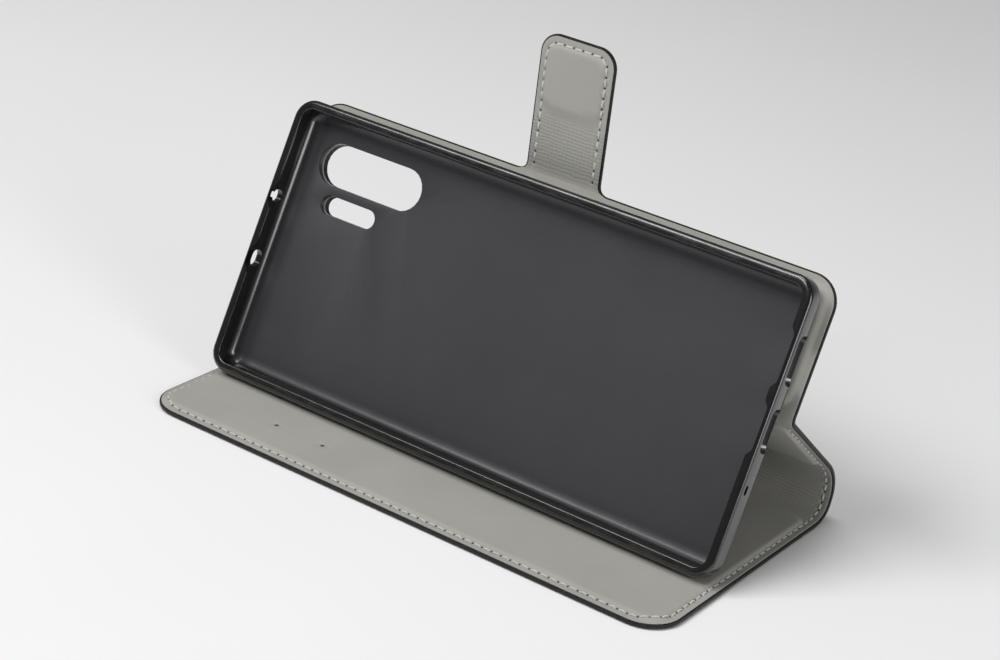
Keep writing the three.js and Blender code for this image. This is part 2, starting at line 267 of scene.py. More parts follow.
# Each camera window's middle (x, height above the crease), length and width.
WINDOWS = [(-58.1, 64.9 - TRAY_FOOT, 35.2, 12.0), (-61.2, 53.6 - TRAY_FOOT, 18.7, 5.4)]
PILL_STEPS = 12
BOARD_INSET = 3.6
STRAP_BOARD_INSET = 3.4
FOLD_GAP = 0.5                # between a hinge line and the stiff panel beside it
CREASE_GAP = 0.8
# Panel (x0, x1, s0, s1) of each stiffener board, and how far the board lies inside it.
PANELS = [
    (-HALF, HALF, 0.0, AT["cover_fold"] - FOLD_GAP, BOARD_INSET),
    (-HALF, HALF, AT["back_fold"] + FOLD_GAP, AT["stand_crease"] - CREASE_GAP, BOARD_INSET),
    (-HALF, HALF, AT["stand_crease"] + CREASE_GAP, TOP, BOARD_INSET),
    (STRAP_LEFT, STRAP_RIGHT, AT["tab_fold"] + STRAP_CLEARANCE, TIP, STRAP_BOARD_INSET),
]
BOARDS = [(x0 + inset, x1 - inset, s0 + inset, s1 - inset) for x0, x1, s0, s1, inset in PANELS]
BOARD_CORNER = 3.0
BOARD_RAMP = 1.9
SOFT_LEVEL = 0.65             # height of the lining's face over the fold level where there is no board
STIFF_LEVEL = 1.55            # and over a board
SKIN_OUTSIDE = -0.8
LINING_CLOTH = 0.4
STITCH_INSET = 2.3
STITCH_PITCH = 2.9
STITCH_GAP = 0.14             # share of the pitch between a needle hole and the thread's visible end
STITCH_END = 3.2              # the body's run stops this far before the stand crease
STRAP_STITCH_START = 2.5      # and the strap's starts this far beyond the panel's free edge
CHANNEL_DEPTH = 0.13
CHANNEL_WIDTH = 0.55
CHANNEL_END = 2.0
STRAP_CHANNEL_START = 1.5
HOLE_RADIUS = 0.34
PINHOLE_RADIUS = 0.75
DIVISION_CLEARANCE = 0.7
UV_SIZE = 500.0


def pill(x, y, length, width, grow=0.0):
    """Outline of a window with round ends, counterclockwise, on the flat pattern."""
    radius = width / 2 + grow
    reach = length / 2 - width / 2
    ends = []
    for side, first in ((1, -90), (-1, 90)):
        angles = np.radians(np.linspace(first, first + 180, PILL_STEPS + 1))
        across = x + side * reach + radius * np.cos(angles)
        ends.append(np.column_stack([across, y + radius * np.sin(angles)]))
    return np.concatenate(ends)


def stiffness(points):
    """1 over a board, falling to 0 beside it."""
    level = np.zeros(len(points))
    for x0, x1, s0, s1 in BOARDS:
        centre = np.array([(x0 + x1) / 2, (s0 + s1) / 2])
        half = np.array([(x1 - x0) / 2, (s1 - s0) / 2]) - BOARD_CORNER
        beyond = np.abs(points - centre) - half
        outside = np.linalg.norm(np.maximum(beyond, 0), axis=1) - BOARD_CORNER
        level = np.maximum(level, 1 - smooth(0, BOARD_RAMP, outside))
    return level


def resampled(chain, pitch):
    """Points every pitch along a chain, evened out to its length."""
    steps = np.linalg.norm(np.diff(chain, axis=0), axis=1)
    distance = np.concatenate([[0], np.cumsum(steps)])
    count = int(round(distance[-1] / pitch))
    at = np.linspace(0, distance[-1], count + 1)
    return np.column_stack([np.interp(at, distance, chain[:, k]) for k in (0, 1)])


def stitch_lines():
    """Needle holes of both runs: round the cover and up to the crease, and round the strap."""
    line = outline(STITCH_INSET)
    end = AT["stand_crease"] - STITCH_END
    body = line[line[:, 1] < end]
    left = body[body[:, 0] < -HALF + STITCH_INSET + 0.01]
    first = int(np.argmax((body == left[left[:, 1].argmax()]).all(1)))
    body = np.roll(body, -first, axis=0)
    strap = line[line[:, 1] > TOP + STRAP_STITCH_START]
    return [resampled(body, STITCH_PITCH), resampled(strap, STITCH_PITCH)]


STITCHES = stitch_lines()
PINHOLES = [(-48.1, 13.9), (-32.2, 13.9)]


def hole_list():
    """(x, s, radius) of each dimple in the lining, none on a division of the leather."""
    holes = [(x, s, HOLE_RADIUS) for x, s in np.concatenate(STITCHES)]
    holes += [(x, s, PINHOLE_RADIUS) for x, s in PINHOLES]
    marks = np.array(SPLITS[1:-1])
    return np.array([h for h in holes if np.abs(marks - h[1]).min() > DIVISION_CLEARANCE])


HOLES = hole_list()


def ribs_at(s):
    """1 where the lining is ribbed, over the spine and at the strap's root, fading at both ends of each."""
    spine = smooth(-1.5, 0.5, s - AT["cover_fold"]) * (1 - smooth(-1, 1.5, s - AT["back_fold"]))
    root = smooth(0.5, 3, s - TOP) * (1 - smooth(0, 2.5, s - AT["tab_fold"]))
    return np.maximum(spine, root)


def lining_base(points):
    return SOFT_LEVEL + (STIFF_LEVEL - SOFT_LEVEL) * stiffness(points)


def channel(points, distance):
    """The groove that the stitches pull into the lining and the skin."""
    body = points[:, 1] < AT["stand_crease"] - CHANNEL_END
    strap = points[:, 1] > TOP + STRAP_CHANNEL_START
    return CHANNEL_DEPTH * np.exp(-(((distance - STITCH_INSET) / CHANNEL_WIDTH) ** 2)) * (body | strap)


# ----------------------------------------
# Meshes from the flat pattern

LATTICE_STEP = 3.2
LATTICE_START = 0.5
WINDOW_MARGIN = 0.4
ON_DIVISION = 1e-3


def inside_polygon(points, polygon):
    x, y = points[:, 0], points[:, 1]
    inside = np.zeros(len(points), bool)
    for (x0, y0), (x1, y1) in zip(polygon, np.roll(polygon, -1, axis=0)):
        crosses = (y0 > y) != (y1 > y)
        with np.errstate(divide="ignore", invalid="ignore"):
            at = (x1 - x0) * (y - y0) / (y1 - y0) + x0
        inside ^= crosses & (x < at)
    return inside


def band_loop(line, s0, s1):
    """The closed loop of an outline's part between two divisions."""
    keep = (line[:, 1] >= s0 - SAME_ROW) & (line[:, 1] <= s1 + SAME_ROW)
    if keep.all():
        return line
    indices = np.flatnonzero(keep)
    gap = np.flatnonzero(~np.roll(keep, 1) & keep)[0]
    indices = np.concatenate([indices[indices >= gap], indices[indices < gap]])
    return line[indices]


def triangulated(loop, extra, holes=()):
    """Triangles over the region inside a loop and outside the holes, through the extra points."""
    points, edges = [], []
    for ring in (loop, *holes):
        first = len(points)
        points += [tuple(p) for p in ring]
        edges += [(first + i, first + (i + 1) % len(ring)) for i in range(len(ring))]
    points += [tuple(p) for p in extra]
    made = delaunay_2d_cdt([Vector(p) for p in points], edges, [], 0, 1e-5)
    flat = np.array([tuple(v) for v in made[0]], float)
    triangles = np.array([tuple(f) for f in made[2]], int)
    centre = flat[triangles].mean(axis=1)
    keep = inside_polygon(centre, np.asarray(loop))
    for ring in holes:
        keep &= ~inside_polygon(centre, np.asarray(ring))
    triangles = triangles[keep]
    used, renumbered = np.unique(triangles, return_inverse=True)
    return flat[used], renumbered.reshape(-1, 3)


def boundary_edges(triangles):
    edges = np.concatenate([triangles[:, [0, 1]], triangles[:, [1, 2]], triangles[:, [2, 0]]])
    key = np.sort(edges, axis=1)
    _, index, count = np.unique(key, axis=0, return_index=True, return_counts=True)
    return edges[index[count == 1]]


def flat_map(mesh, places):
    """Texture coordinates from each vertex's flat place, so that the grain runs on over a division."""
    layer = mesh.uv_layers.new(name="flat")
    corner_vertex = np.empty(len(mesh.loops), int)
    mesh.loops.foreach_get("vertex_index", corner_vertex)
    uv = places[corner_vertex] / UV_SIZE + 0.5
    layer.data.foreach_set("uv", uv.astype(np.float32).ravel())


def linked(name, points, faces, places):
    """A smooth object in the scene, from points in metres and their places on the flat pattern."""
    mesh = bpy.data.meshes.new(name)
    mesh.from_pydata(points, [], faces)
    mesh.polygons.foreach_set("use_smooth", np.ones(len(faces), bool))
    flat_map(mesh, places)
    piece = bpy.data.objects.new(name, mesh)
    bpy.context.scene.collection.objects.link(piece)
    return piece


def add_attribute(mesh, name, values):
    mesh.attributes.new(name, "FLOAT", "POINT").data.foreach_set("value", values.astype(np.float32))


def shell(name, flat, triangles, top, bottom, attributes):
    """A closed sheet with the given heights above the fold level on its two faces."""
    n = len(flat)
    upper = folded(flat[:, 0], flat[:, 1], top)
    lower = folded(flat[:, 0], flat[:, 1], bottom)
    rim = boundary_edges(triangles)
    faces = [tuple(t) for t in triangles]
    faces += [tuple(t[::-1] + n) for t in triangles]
    faces += [(int(b), int(a), int(a) + n, int(b) + n) for a, b in rim]
    piece = linked(name, np.concatenate([upper, lower]) * MM, faces, np.concatenate([flat, flat]))
    for label, values in attributes.items():
        add_attribute(piece.data, label, np.concatenate(values))
    sharp = {tuple(sorted((int(a), int(b)))) for a, b in rim if hard_corner(flat[a], flat[b])}
    both = sharp | {(a + n, b + n) for a, b in sharp}
    for edge in piece.data.edges:
        if tuple(sorted(edge.vertices)) in both:
            edge.use_edge_sharp = True
    return piece


def away_from(points, spots, clearance):
    """The points that are further than clearance from every spot."""
    if not len(spots):
        return points
    gap = np.linalg.norm(points[:, None, :] - spots[None, :, :2], axis=2) - spots[None, :, 2]
    return points[gap.min(axis=1) > clearance]


def lattice(s0, s1, margin):
    """Points over the middle of a piece, at the mesh rows and further than margin from the outline."""
    rows = ROWS[(ROWS > s0 - SAME_ROW) & (ROWS < s1 + SAME_ROW)]
    start, end = (STRAP_LEFT, STRAP_RIGHT) if s0 >= TOP else (-HALF + LATTICE_START, HALF)
    x = np.arange(start, end, LATTICE_STEP)
    grid = np.array([(a, b) for b in rows for a in x])
    inside = inside_polygon(grid, EDGE) & (edge_distance(grid) > margin)
    return grid[inside]


def in_band(points, s0, s1):
    return points[(points[:, 1] >= s0 - SAME_ROW) & (points[:, 1] <= s1 + SAME_ROW)]


def edge_round(distance, radius):
    """How far a rounded edge falls away at this distance from it."""
    t = np.clip(radius - distance, 0, radius)
    return radius - np.sqrt(radius**2 - t**2)


def on_division(a, b):
    nearest = min(abs(a[1] - s) for s in SPLITS[1:-1])
    return abs(a[1] - b[1]) < SAME_ROW and nearest < ON_DIVISION


def window_loops(s0, s1):
    base = AT["stand_crease"]
    return [pill(x, base + y, length, width)[::-1] for x, y, length, width in WINDOWS if s0 < base + y < s1]


def hard_corner(a, b):
    """Whether an edge lies on a window's cut or on a division, which keep a hard corner."""
    base = AT["stand_crease"]
    for x, y, length, width in WINDOWS:
        beside = [abs(p[0] - x) <= length / 2 + WINDOW_MARGIN for p in (a, b)]
        level = [abs(p[1] - base - y) <= width / 2 + WINDOW_MARGIN for p in (a, b)]
        if all(beside) and all(level):
            return True
    return on_division(a, b)


LEATHER_INSETS = (0.05, 0.14, 0.28, 0.42, 0.5, 0.62, 1.1, 1.7, 2.3, 2.9, 3.6)
LEATHER_MARGIN = 4.2
LINING_INSETS = (0.5, 0.58, 0.7, 1.1, 1.5, 1.8, 2.1, 2.3, 2.5, 2.8, 3.1, 3.5, 4.0)
LINING_MARGIN = 4.5
LINING_START = 0.45           # the lining's edge lies this far inside the leather's
LINING_ROUNDING = 0.14
BEAD_DROP = 0.1               # the leather's bead beside the lining is this much lower than it
BEAD_ROUNDING = 0.32
SKIN_ROUNDING = 0.6
PLY_GAP = 0.03                # between the leather's inner face and the lining
WORN_RIM = 1.4
DIMPLE_DEPTH = 0.2
DIMPLE_CLEARANCE = 0.16
DIMPLE_STEP = 45
DIMPLE_RINGS = (1.0, 0.7)     # shares of a hole's radius


def flat_mesh(s0, s1, start, insets, margin):
    """Outline, windows and inner points of a piece whose edge lies at the inset start."""
    points = [in_band(outline(inset), s0, s1) for inset in insets]
    points.append(lattice(s0, s1, margin))
    return band_loop(outline(start), s0, s1), window_loops(s0, s1), np.concatenate(points)


def leather_piece(name, s0, s1):
    loop, windows, extra = flat_mesh(s0, s1, 0.0, LEATHER_INSETS, LEATHER_MARGIN)
    flat, triangles = triangulated(loop, extra, windows)
    distance = edge_distance(flat)
    base = lining_base(flat)
    bead = base - BEAD_DROP - edge_round(distance, BEAD_ROUNDING)
    under = base - LINING_CLOTH - PLY_GAP
    top = np.where(distance < LINING_START, bead, under)
    bottom = SKIN_OUTSIDE + edge_round(distance, SKIN_ROUNDING) + channel(flat, distance)
    rim = 1 - smooth(0, WORN_RIM, distance)
    return shell(name, flat, triangles, top, bottom, {"rim": (rim, rim)})


def lining_piece(name, s0, s1):
    loop, windows, extra = flat_mesh(s0, s1, LINING_START, LINING_INSETS, LINING_MARGIN)
    holes = HOLES[(HOLES[:, 1] > s0) & (HOLES[:, 1] < s1)]
    points = [away_from(extra, holes, DIMPLE_CLEARANCE)]
    angles = np.radians(np.arange(0, 360, DIMPLE_STEP))
    circle = np.column_stack([np.cos(angles), np.sin(angles)])
    for x, s, radius in holes:
        centre = np.array([[x, s]])
        points += [centre + share * radius * circle for share in DIMPLE_RINGS]
        points.append(centre)
    flat, triangles = triangulated(loop, np.concatenate(points), windows)
    distance = edge_distance(flat)
    base = lining_base(flat)
    sunk = np.zeros(len(flat))
    for x, s, radius in holes:
        away = np.hypot(flat[:, 0] - x, flat[:, 1] - s) / radius
        sunk = np.maximum(sunk, 1 - smooth(0.6, 0.98, away))
    worn = edge_round(distance - LINING_START, LINING_ROUNDING)
    top = base - worn - channel(flat, distance) - DIMPLE_DEPTH * sunk
    ribbed = ribs_at(flat[:, 1])
    # hole: 1 at a needle hole or pinhole, where the lining's colour is darkened as painted shade inside the
    # dimple
    attributes = {"hole": (sunk, sunk * 0), "soft": (ribbed, ribbed)}
    return shell(name, flat, triangles, top, base - LINING_CLOTH, attributes)


THREAD_RADIUS = 0.3
THREAD_SIDES = 6
THREAD_STATIONS = np.array([0.0, 0.1, 0.25, 0.5, 0.75, 0.9, 1.0])
THREAD_END = 0.55             # share of the radius at a thread's ends
THREAD_WIDTH = 1.1            # a pulled thread is wider than high
THREAD_HEIGHT = 0.75
THREAD_SLANT = 0.05
THICKNESS_SPREAD = 0.06
LIFT_SPREAD = 0.025
LIFT = {1: 0.12, -1: -0.13}   # of a thread's middle over the surface, by side
END_DEPTH = 0.2


def bounded_draws(count):
    """One normal draw for each stitch, never further out than 1.5 deviations."""
    return random.standard_normal((count, 1)).clip(-1.5, 1.5)


def thread_faces(total):
    """Faces of the closed tubes that total points make, ring after ring."""
    rings, n = len(THREAD_STATIONS), THREAD_SIDES
    faces = []
    for first in range(0, total, rings * n):
        for low in range(first, first + (rings - 1) * n, n):
            faces += [(low + m, low + (m + 1) % n, low + n + (m + 1) % n, low + n + m) for m in range(n)]
        faces.append(tuple(first + m for m in reversed(range(n))))
        faces.append(tuple(first + (rings - 1) * n + m for m in range(n)))
    return faces


def stitch_mesh(name, s0, s1, side):
    """Short threads between the needle holes: on the lining for side 1, on the skin for side -1."""
    pairs = [(a, b) for holes in STITCHES for a, b in zip(holes, holes[1:]) if s0 <= (a[1] + b[1]) / 2 < s1]
    if not pairs:
        return None
    a, b = np.array(pairs).transpose(1, 0, 2)[:, :, None, :]
    count = len(pairs)
    along = (b - a) / np.linalg.norm(b - a, axis=-1, keepdims=True)
    normal = np.stack([-along[..., 1], along[..., 0]], -1)
    t = THREAD_STATIONS[None, :, None]
    slant = THREAD_SLANT * random.standard_normal((count, 1, 1))
    centre = a + (b - a) * (STITCH_GAP + t * (1 - 2 * STITCH_GAP)) + normal * slant * (2 * t - 1)
    arch = np.sqrt(np.sin(np.pi * t[..., 0]).clip(0))
    thickness = 1 + THICKNESS_SPREAD * bounded_draws(count)
    radius = THREAD_RADIUS * thickness * (THREAD_END + (1 - THREAD_END) * arch)
    lift = LIFT[side] + LIFT_SPREAD * bounded_draws(count)
    points = centre.reshape(-1, 2)
    dip = channel(points, edge_distance(points))
    surface = lining_base(points) - dip if side > 0 else SKIN_OUTSIDE + dip
    height = surface.reshape(count, -1) + side * (lift * arch - END_DEPTH * (1 - arch))
    angles = np.radians(np.arange(0, 360, 360 / THREAD_SIDES))
    across = (radius[..., None] * THREAD_WIDTH * np.cos(angles))[..., None]
    level = height[..., None] + radius[..., None] * THREAD_HEIGHT * np.sin(angles)
    spread = centre[:, :, None] + normal[:, :, None] * across
    v = np.concatenate([spread, level[..., None]], -1).reshape(-1, 3)
    return linked(name, folded(v[:, 0], v[:, 1], v[:, 2]) * MM, thread_faces(len(v)), v[:, :2])


# ----------------------------------------
# The phone tray, in the upper back panel's own frame: x, y up the panel, z towards the phone

TRAY_CENTRE = -0.75
TRAY_LENGTH = 164.8
TRAY_WIDTH = 79.8
TRAY_CORNER = 6.0
TRAY_BACK = 2.0
TRAY_FLOOR = 3.5
TRAY_RIM = 12.0
BACK_ROUNDING = 5.2
HEEL = 7.2                    # rounding of the bottom wall, where the tray stands on the cover
FLOOR_FILLET = 4.0
WALL = 1.6
LIP_INSET = 2.6
LIP_THICKNESS = 1.1
RIM_ROUNDING = 1.1
LIP_ROUNDING = 0.3
LIP_FILLET = 0.25
WINDOW_RIM = 0.22             # rounding of a window's edge at the floor
WINDOW_SLOPE = 0.06
LONG_SIDE_STEPS = 24
SHORT_SIDE_STEPS = 14
TRAY_LEAST_CORNER = 0.6
TRAY_MERGE = 1e-4
TRAY_SHARP = math.radians(38)
TRAY_HALF = np.array([TRAY_LENGTH, TRAY_WIDTH]) / 2
TRAY_MIDDLE = np.array([TRAY_CENTRE, TRAY_WIDTH / 2 - TRAY_FOOT])
# Ports in the end walls: span up from the tray's foot, span behind the rim, corner radius.
RIGHT_WINDOWS = [((52.5, 65.7), (1.7, 8.4), 2.2), ((34.7, 46.4), (1.7, 8.4), 2.2)]
MICROPHONE_HOLE = ((23.6, 26.2), (1.9, 3.3), 0.6)
LEFT_PORTS = [((49.3, 52.9), (1.2, 5.2), 1.5), ((30.3, 35.1), (1.4, 5.5), 1.7)]
PORT_BAR_LEFT = 0.8           # what is left of the lip's width beside a port
PORT_BAR_RIGHT = 1.2
PORT_REACH = 5.2              # how far a cutter reaches into the tray
PORT_BEYOND = 2.0             # and out of it
LIP_RELIEF = 0.6
RELIEF_BEYOND = 3.0
RELIEF_BELOW = 0.2

crease = axis_of("stand_crease")
up_panel = (axis_of("strap_fold") - crease) / np.linalg.norm(axis_of("strap_fold") - crease)
out_panel = np.array([-up_panel[1], up_panel[0]])


def from_panel(points):
    """Row frame coordinates, in metres, of points given in the upper back panel's frame."""
    points = np.asarray(points, float)
    yz = crease + points[:, 1:2] * up_panel + points[:, 2:3] * out_panel
    return np.column_stack([points[:, 0], yz]) * MM


def tray_ring(inset):
    """Points round the tray at an inset, the same number for every inset."""
    radius = max(TRAY_CORNER - inset, TRAY_LEAST_CORNER)
    reach = TRAY_HALF - inset - radius
    turns = []
    for sign, start in (((1, -1), -90), ((1, 1), 0), ((-1, 1), 90), ((-1, -1), 180)):
        angles = np.radians(np.linspace(start, start + 90, 11))
        turns.append(sign * reach + radius * np.column_stack([np.cos(angles), np.sin(angles)]))
    ring = []
    for k, corner in enumerate(turns):
        count = LONG_SIDE_STEPS if k % 2 else SHORT_SIDE_STEPS
        t = np.linspace(0, 1, count + 1)[1:-1, None]
        ring += [corner, corner[-1] + (turns[(k + 1) % 4][0] - corner[-1]) * t]
    return np.concatenate(ring) + TRAY_MIDDLE


def turn(start, corner, end, steps):
    """A quarter turn between two section points, both included, whose tangents meet at the corner."""
    start, corner, end = np.array(start), np.array(corner), np.array(end)
    t = np.linspace(0, math.pi / 2, steps + 1)[:, None]
    return corner + (start - corner) * (1 - np.sin(t)) + (end - corner) * (1 - np.cos(t))


def tray_section():
    """(inset, z) from the middle of the back, out round the wall and the lip, and in to the floor."""
    rim, soft, fillet = RIM_ROUNDING, LIP_ROUNDING, LIP_FILLET
    lip_low = TRAY_RIM - LIP_THICKNESS
    back_turn = TRAY_BACK + BACK_ROUNDING
    floor_edge = WALL + FLOOR_FILLET
    return np.concatenate([
        [(BACK_ROUNDING + 0.6, TRAY_BACK)],
        turn((BACK_ROUNDING, TRAY_BACK), (0, TRAY_BACK), (0, back_turn), 12),
        turn((0, TRAY_RIM - rim), (0, TRAY_RIM), (rim, TRAY_RIM), 5),
        turn((LIP_INSET - soft, TRAY_RIM), (LIP_INSET, TRAY_RIM), (LIP_INSET, TRAY_RIM - soft), 4),
        turn((LIP_INSET, lip_low + soft), (LIP_INSET, lip_low), (LIP_INSET - soft, lip_low), 4),
        turn((WALL + fillet, lip_low), (WALL, lip_low), (WALL, lip_low - fillet), 3),
        turn((WALL, TRAY_FLOOR + FLOOR_FILLET), (WALL, TRAY_FLOOR), (floor_edge, TRAY_FLOOR), 10),
        [(floor_edge + 0.5, TRAY_FLOOR)],
    ])


def face_outwards(mesh, merge=0.0):
    """Turns every face outwards, after joining points closer than merge."""
    work = bmesh.new()
    work.from_mesh(mesh)
    if merge:
        bmesh.ops.remove_doubles(work, verts=work.verts, dist=merge)
    bmesh.ops.recalc_face_normals(work, faces=work.faces)
    work.to_mesh(mesh)
    work.free()


def between(low, high, count):
    """Faces between two closed rings of count points."""
    return [(low + i, low + (i + 1) % count, high + (i + 1) % count, high + i) for i in range(count)]


def tray_body():
    """The tray's mesh in the panel's frame: rings along the section, the back, the floor and the windows."""
    rings = []
    for inset, z in tray_section():
        ring = tray_ring(inset)
        rings.append(np.column_stack([ring, np.full(len(ring), z)]))
    count = len(rings[0])
    points = [tuple(p) for ring in rings for p in ring]
    faces = []
    for k in range(len(rings) - 1):
        faces += between(k * count, (k + 1) * count, count)
    for ring, z, upward in ((rings[0], TRAY_BACK, False), (rings[-1], TRAY_FLOOR, True)):
        grow = WINDOW_RIM if upward else 0.0
        windows = [pill(x, y, length, width, grow)[::-1] for x, y, length, width in WINDOWS]
        flat, triangles = triangulated(ring[:, :2], np.empty((0, 2)), windows)
        first = len(points)
        points += [(x, y, z) for x, y in flat]
        faces += [tuple(first + (t if upward else t[::-1])) for t in triangles]
    # A window's wall, from the rounded edge at the floor down to the back.
    levels = [(WINDOW_RIM, TRAY_FLOOR), (WINDOW_SLOPE, TRAY_FLOOR - WINDOW_SLOPE),
              (0.0, TRAY_FLOOR - WINDOW_RIM), (0.0, TRAY_BACK)]
    for x, y, length, width in WINDOWS:
        walls = [pill(x, y, length, width, grow) for grow, _ in levels]
        n = len(walls[0])
        first = len(points)
        for wall, (_, z) in zip(walls, levels):
            points += [(a, b, z) for a, b in wall]
        for low in range(first, first + (len(levels) - 1) * n, n):
            faces += [face[::-1] for face in between(low, low + n, n)]
    mesh = bpy.data.meshes.new("tray")
    mesh.from_pydata(onto_heel(np.array(points, float)), [], faces)
    face_outwards(mesh, TRAY_MERGE)
    return mesh


def port_prism(span, depth, radius, x0, x1):
    """A cutter through an end wall, with rounded corners."""
    y0, y1 = span[0] - TRAY_FOOT, span[1] - TRAY_FOOT
    z0, z1 = TRAY_RIM - depth[1], TRAY_RIM - depth[0]
    ring = np.concatenate([
        arc(y1 - radius, z0 + radius, radius, -90, 0),
        arc(y1 - radius, z1 - radius, radius, 0, 90),
        arc(y0 + radius, z1 - radius, radius, 90, 180),
        arc(y0 + radius, z0 + radius, radius, 180, 270),
    ])
    return extruded([(x, y, z) for x in (x0, x1) for y, z in ring])


def relief_prism(span, x0, x1):
    """A cutter that takes the lip away beside a port, its ends run out in a curve."""
    y0, y1 = span[0] - LIP_RELIEF - TRAY_FOOT, span[1] + LIP_RELIEF - TRAY_FOOT
    sweep = abs(x1 - x0)
    beyond = x1 + np.sign(x1 - x0) * RELIEF_BEYOND
    t = np.linspace(0, 1, 9)
    ease = t * t * (3 - 2 * t)
    rise = np.column_stack([x1 + (x0 - x1) * ease, y0 - sweep + 2 * sweep * t])
    fall = np.column_stack([x0 + (x1 - x0) * ease, y1 - sweep + 2 * sweep * t])
    ring = np.concatenate([rise, fall, [(beyond, y1 + sweep)], [(beyond, y0 - sweep)]])
    levels = (TRAY_RIM - LIP_THICKNESS - RELIEF_BELOW, TRAY_RIM + PORT_BEYOND)
    return extruded([(x, y, z) for z in levels for x, y in ring])


def extruded(points):
    """Points and faces of a prism whose two equal rings are given one after the other."""
    n = len(points) // 2
    faces = [(i, (i + 1) % n, (i + 1) % n + n, i + n) for i in range(n)]
    faces += [tuple(reversed(range(n))), tuple(range(n, 2 * n))]
    return points, faces


def onto_heel(points):
    """Brings the back's lower edge onto the larger rounding on which the tray stands."""
    centre = np.array([HEEL - TRAY_FOOT, TRAY_BACK + HEEL])
    away = points[:, 1:] - centre
    distance = np.linalg.norm(away, axis=1)
    outside = (away < 0).all(axis=1) & (distance > HEEL)
    points[outside, 1:] = centre + away[outside] * (HEEL / distance[outside])[:, None]
    return points


def port_cutters():
    left = TRAY_CENTRE - TRAY_LENGTH / 2
    right = TRAY_CENTRE + TRAY_LENGTH / 2
    cutters = []
    for port in (*RIGHT_WINDOWS, MICROPHONE_HOLE):
        cutters.append(port_prism(*port, right - PORT_REACH, right + PORT_BEYOND))
    for port in LEFT_PORTS:
        cutters.append(port_prism(*port, left - PORT_BEYOND, left + PORT_REACH))
        cutters.append(relief_prism(port[0], left + PORT_BAR_LEFT, left + LIP_INSET))
    for port in RIGHT_WINDOWS:
        cutters.append(relief_prism(port[0], right - PORT_BAR_RIGHT, right - LIP_INSET))
    return cutters


def cut_ports(tray):
    """Cuts the ports, and the lip beside them, out of the tray."""
    tool = bpy.data.objects.new("cutter", bpy.data.meshes.new("cutter"))
    bpy.context.scene.collection.objects.link(tool)
    for points, faces in port_cutters():
        mesh = bpy.data.meshes.new("cutter")
        mesh.from_pydata(points, [], faces)
        face_outwards(mesh)
        tool.data = mesh
        cut = tray.modifiers.new("port", "BOOLEAN")
        cut.operation = "DIFFERENCE"
        cut.solver = "EXACT"
        cut.object = tool
        bpy.context.view_layer.update()
        result = bpy.data.meshes.new_from_object(tray.evaluated_get(bpy.context.evaluated_depsgraph_get()))
        tray.modifiers.clear()
        tray.data = result
    bpy.data.objects.remove(tool)


def sharpen(mesh, angle):
    """Smooth shading, except over edges that turn by more than the angle."""
    mesh.polygons.foreach_set("use_smooth", np.ones(len(mesh.polygons), bool))
    work = bmesh.new()
    work.from_mesh(mesh)
    for edge in work.edges:
        edge.smooth = len(edge.link_faces) == 2 and edge.calc_face_angle(0) < angle
    work.to_mesh(mesh)
    work.free()


def phone_tray():
    tray = bpy.data.objects.new("tray_shell", tray_body())
    bpy.context.scene.collection.objects.link(tray)
    cut_ports(tray)
    mesh = tray.data
    co = np.empty(len(mesh.vertices) * 3)
    mesh.vertices.foreach_get("co", co)
    local = co.reshape(-1, 3)
    sharpen(mesh, TRAY_SHARP)
    flat_map(mesh, local[:, :2])
    sides = TRAY_HALF - np.abs(local[:, :2] - TRAY_MIDDLE)
    above = local[:, 2] - TRAY_FLOOR
    satin = smooth(WALL + 0.8, WALL + 3.0, sides.min(axis=1)) * (above > -0.6) * (above < FLOOR_FILLET)
    marks = smooth(-0.6, -0.1, local[:, 2] - TRAY_RIM) * smooth(3, 8, sides[:, 0])
    add_attribute(mesh, "satin", satin)
    add_attribute(mesh, "marks", marks)
    mesh.vertices.foreach_set("co", from_panel(local).astype(np.float32).ravel())
    mesh.update()
    return tray


# ----------------------------------------
# Materials: scales are per millimetre

RIB_PITCH = 0.95
WEAVE_PITCH = 1.15
PLY_PITCH = 0.42


